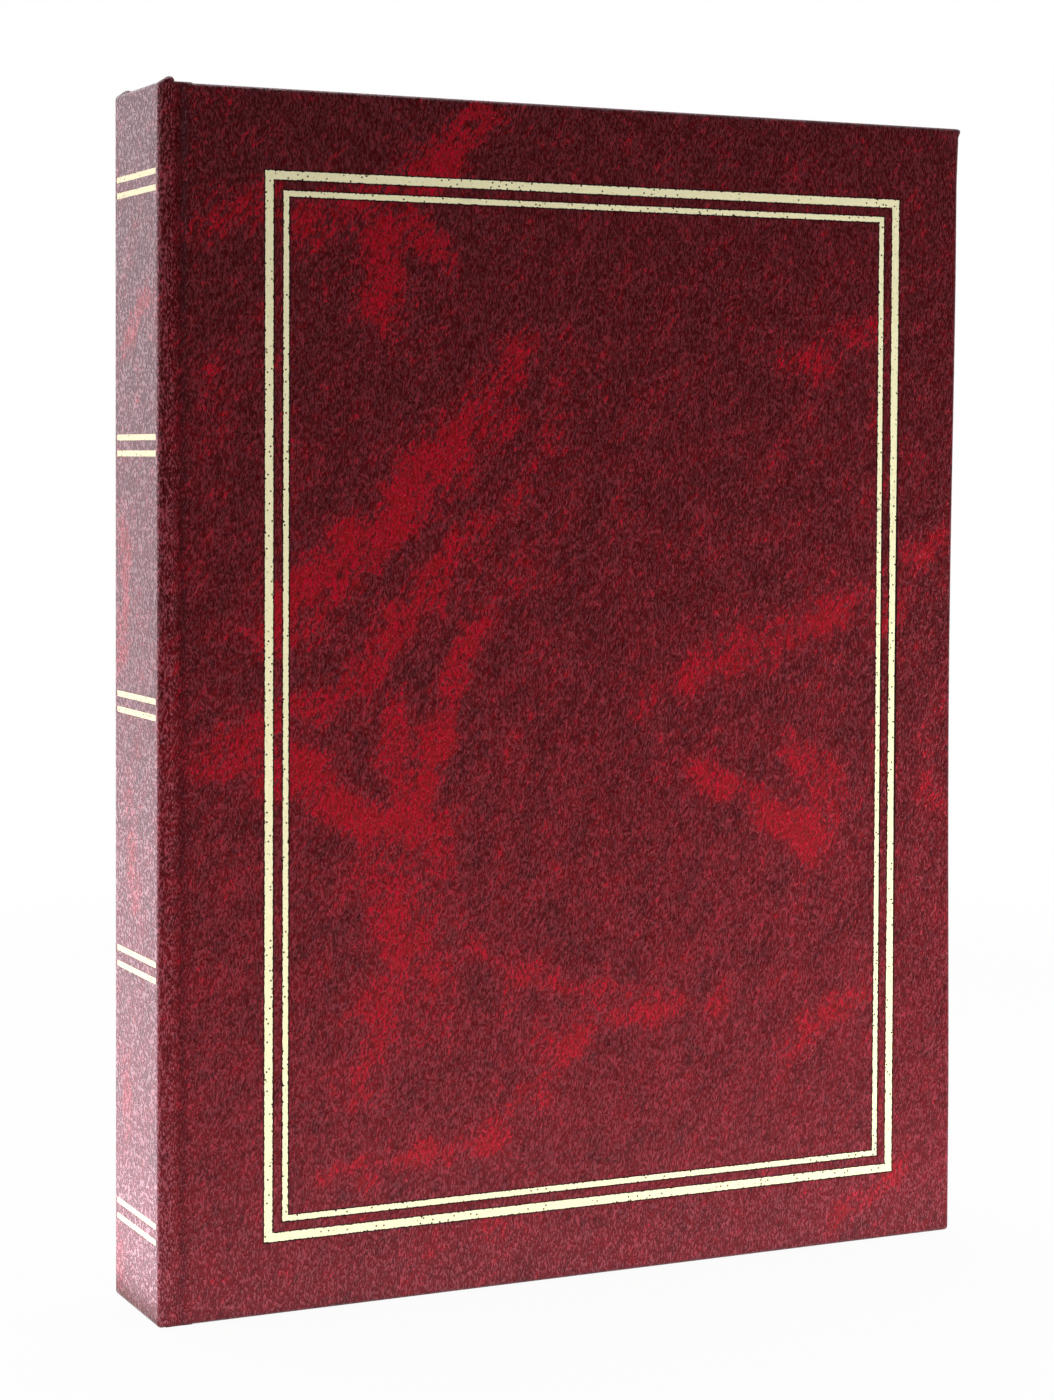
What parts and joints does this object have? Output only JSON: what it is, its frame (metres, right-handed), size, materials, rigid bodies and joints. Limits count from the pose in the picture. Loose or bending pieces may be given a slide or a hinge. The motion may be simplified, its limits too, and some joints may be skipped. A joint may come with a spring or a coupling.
{
  "type": "stamp album",
  "caption": "Closed stamp stock book in a marbled burgundy leatherette case with gilt rules, standing on its tail; the covers open and the pocket leaves fan with them.",
  "frame": {"origin": "middle of the tail, on the surface that the album stands on", "axes": "+Z to the head, -Y out of the front cover, -X out of the spine, +X to the fore-edge"},
  "size_m": [0.23, 0.035, 0.306],
  "materials": {
    "leatherette": "marbled burgundy, fine worm grain, satin",
    "gilt": "blocked pale gold foil",
    "greyboard": "grey pulp board",
    "card": "smooth ivory card",
    "endpaper": "matt ivory paper",
    "glassine": "translucent glassine",
    "linen": "white book linen",
    "mull": "open-weave starched mull",
    "thread": "linen thread",
    "lining": "kraft lining paper"
  },
  "bodies": {
    "spine": {"spine_board": "greyboard", "spine_leatherette": "leatherette", "spine_gilt_bands": "gilt", "spine_lining": "lining", "sewing_tapes": "linen", "sewing_thread": "thread", "leaf_guards": "card", "guard_spacers": "greyboard", "guard_linen": "linen", "endpaper_stubs": "endpaper"},
    "front_cover": {"front_board": "greyboard", "front_leatherette": "leatherette", "front_gilt_outer_frame": "gilt", "front_gilt_inner_frame": "gilt", "front_mull": "mull", "front_pastedown": "endpaper"},
    "back_cover": {"back_board": "greyboard", "back_leatherette": "leatherette", "back_mull": "mull", "back_pastedown": "endpaper"},
    "front_fly": {"front_flyleaf": "endpaper"},
    "back_fly": {"back_flyleaf": "endpaper"},
    "leaf_01": {"leaf_card_01": "card", "leaf_pockets_01": "glassine"},
    "leaf_02": {"leaf_card_02": "card", "leaf_pockets_02": "glassine"},
    "leaf_03": {"leaf_card_03": "card", "leaf_pockets_03": "glassine"},
    "leaf_04": {"leaf_card_04": "card", "leaf_pockets_04": "glassine"},
    "leaf_05": {"leaf_card_05": "card", "leaf_pockets_05": "glassine"},
    "leaf_06": {"leaf_card_06": "card", "leaf_pockets_06": "glassine"},
    "leaf_07": {"leaf_card_07": "card", "leaf_pockets_07": "glassine"},
    "leaf_08": {"leaf_card_08": "card", "leaf_pockets_08": "glassine"},
    "leaf_09": {"leaf_card_09": "card", "leaf_pockets_09": "glassine"},
    "leaf_10": {"leaf_card_10": "card", "leaf_pockets_10": "glassine"},
    "leaf_11": {"leaf_card_11": "card", "leaf_pockets_11": "glassine"},
    "leaf_12": {"leaf_card_12": "card", "leaf_pockets_12": "glassine"},
    "leaf_13": {"leaf_card_13": "card", "leaf_pockets_13": "glassine"},
    "leaf_14": {"leaf_card_14": "card", "leaf_pockets_14": "glassine"},
    "leaf_15": {"leaf_card_15": "card", "leaf_pockets_15": "glassine"},
    "leaf_16": {"leaf_card_16": "card", "leaf_pockets_16": "glassine"}
  },
  "joints": [
    {"name": "front_cover_hinge", "type": "hinge", "parent": "spine", "child": "front_cover", "pos_m": [-0.1094, -0.01755, 0.1525], "axis": [0, 0, -1], "range_deg": [0, 180]},
    {"name": "back_cover_hinge", "type": "hinge", "parent": "spine", "child": "back_cover", "pos_m": [-0.1094, 0.01755, 0.1525], "axis": [0, 0, 1], "range_deg": [0, 180]},
    {"name": "front_fly_crease", "type": "hinge", "parent": "spine", "child": "front_fly", "pos_m": [-0.098, -0.0133, 0.1525], "axis": [0, 0, -1], "range_deg": [0, 126]},
    {"name": "back_fly_crease", "type": "hinge", "parent": "spine", "child": "back_fly", "pos_m": [-0.098, 0.0133, 0.1525], "axis": [0, 0, 1], "range_deg": [0, 126]},
    {"name": "leaf_01_crease", "type": "hinge", "parent": "spine", "child": "leaf_01", "pos_m": [-0.0977, -0.01191, 0.1525], "axis": [0, 0, -1], "range_deg": [0, 80]},
    {"name": "leaf_02_crease", "type": "hinge", "parent": "spine", "child": "leaf_02", "pos_m": [-0.0974, -0.01031, 0.1525], "axis": [0, 0, -1], "range_deg": [0, 70]},
    {"name": "leaf_03_crease", "type": "hinge", "parent": "spine", "child": "leaf_03", "pos_m": [-0.0971, -0.00871, 0.1525], "axis": [0, 0, -1], "range_deg": [0, 60]},
    {"name": "leaf_04_crease", "type": "hinge", "parent": "spine", "child": "leaf_04", "pos_m": [-0.0968, -0.00711, 0.1525], "axis": [0, 0, -1], "range_deg": [0, 50]},
    {"name": "leaf_05_crease", "type": "hinge", "parent": "spine", "child": "leaf_05", "pos_m": [-0.0965, -0.00551, 0.1525], "axis": [0, 0, -1], "range_deg": [0, 40]},
    {"name": "leaf_06_crease", "type": "hinge", "parent": "spine", "child": "leaf_06", "pos_m": [-0.0962, -0.00391, 0.1525], "axis": [0, 0, -1], "range_deg": [0, 30]},
    {"name": "leaf_07_crease", "type": "hinge", "parent": "spine", "child": "leaf_07", "pos_m": [-0.0959, -0.00231, 0.1525], "axis": [0, 0, -1], "range_deg": [0, 20]},
    {"name": "leaf_08_crease", "type": "hinge", "parent": "spine", "child": "leaf_08", "pos_m": [-0.0956, -0.00071, 0.1525], "axis": [0, 0, -1], "range_deg": [0, 10]},
    {"name": "leaf_09_crease", "type": "hinge", "parent": "spine", "child": "leaf_09", "pos_m": [-0.0956, 0.00089, 0.1525], "axis": [0, 0, 1], "range_deg": [0, 10]},
    {"name": "leaf_10_crease", "type": "hinge", "parent": "spine", "child": "leaf_10", "pos_m": [-0.0959, 0.00249, 0.1525], "axis": [0, 0, 1], "range_deg": [0, 20]},
    {"name": "leaf_11_crease", "type": "hinge", "parent": "spine", "child": "leaf_11", "pos_m": [-0.0962, 0.00409, 0.1525], "axis": [0, 0, 1], "range_deg": [0, 30]},
    {"name": "leaf_12_crease", "type": "hinge", "parent": "spine", "child": "leaf_12", "pos_m": [-0.0965, 0.00569, 0.1525], "axis": [0, 0, 1], "range_deg": [0, 40]},
    {"name": "leaf_13_crease", "type": "hinge", "parent": "spine", "child": "leaf_13", "pos_m": [-0.0968, 0.00729, 0.1525], "axis": [0, 0, 1], "range_deg": [0, 50]},
    {"name": "leaf_14_crease", "type": "hinge", "parent": "spine", "child": "leaf_14", "pos_m": [-0.0971, 0.00889, 0.1525], "axis": [0, 0, 1], "range_deg": [0, 60]},
    {"name": "leaf_15_crease", "type": "hinge", "parent": "spine", "child": "leaf_15", "pos_m": [-0.0974, 0.01049, 0.1525], "axis": [0, 0, 1], "range_deg": [0, 70]},
    {"name": "leaf_16_crease", "type": "hinge", "parent": "spine", "child": "leaf_16", "pos_m": [-0.0977, 0.01209, 0.1525], "axis": [0, 0, 1], "range_deg": [0, 80]}
  ],
  "couplings": [
    {"joint": "front_fly_crease", "follows": "front_cover_hinge", "ratio": 0.7},
    {"joint": "back_fly_crease", "follows": "back_cover_hinge", "ratio": 0.7},
    {"joint": "leaf_01_crease", "follows": "front_cover_hinge", "ratio": 0.44444},
    {"joint": "leaf_02_crease", "follows": "front_cover_hinge", "ratio": 0.38889},
    {"joint": "leaf_03_crease", "follows": "front_cover_hinge", "ratio": 0.33333},
    {"joint": "leaf_04_crease", "follows": "front_cover_hinge", "ratio": 0.27778},
    {"joint": "leaf_05_crease", "follows": "front_cover_hinge", "ratio": 0.22222},
    {"joint": "leaf_06_crease", "follows": "front_cover_hinge", "ratio": 0.16667},
    {"joint": "leaf_07_crease", "follows": "front_cover_hinge", "ratio": 0.11111},
    {"joint": "leaf_08_crease", "follows": "front_cover_hinge", "ratio": 0.055556},
    {"joint": "leaf_09_crease", "follows": "back_cover_hinge", "ratio": 0.055556},
    {"joint": "leaf_10_crease", "follows": "back_cover_hinge", "ratio": 0.11111},
    {"joint": "leaf_11_crease", "follows": "back_cover_hinge", "ratio": 0.16667},
    {"joint": "leaf_12_crease", "follows": "back_cover_hinge", "ratio": 0.22222},
    {"joint": "leaf_13_crease", "follows": "back_cover_hinge", "ratio": 0.27778},
    {"joint": "leaf_14_crease", "follows": "back_cover_hinge", "ratio": 0.33333},
    {"joint": "leaf_15_crease", "follows": "back_cover_hinge", "ratio": 0.38889},
    {"joint": "leaf_16_crease", "follows": "back_cover_hinge", "ratio": 0.44444}
  ]
}
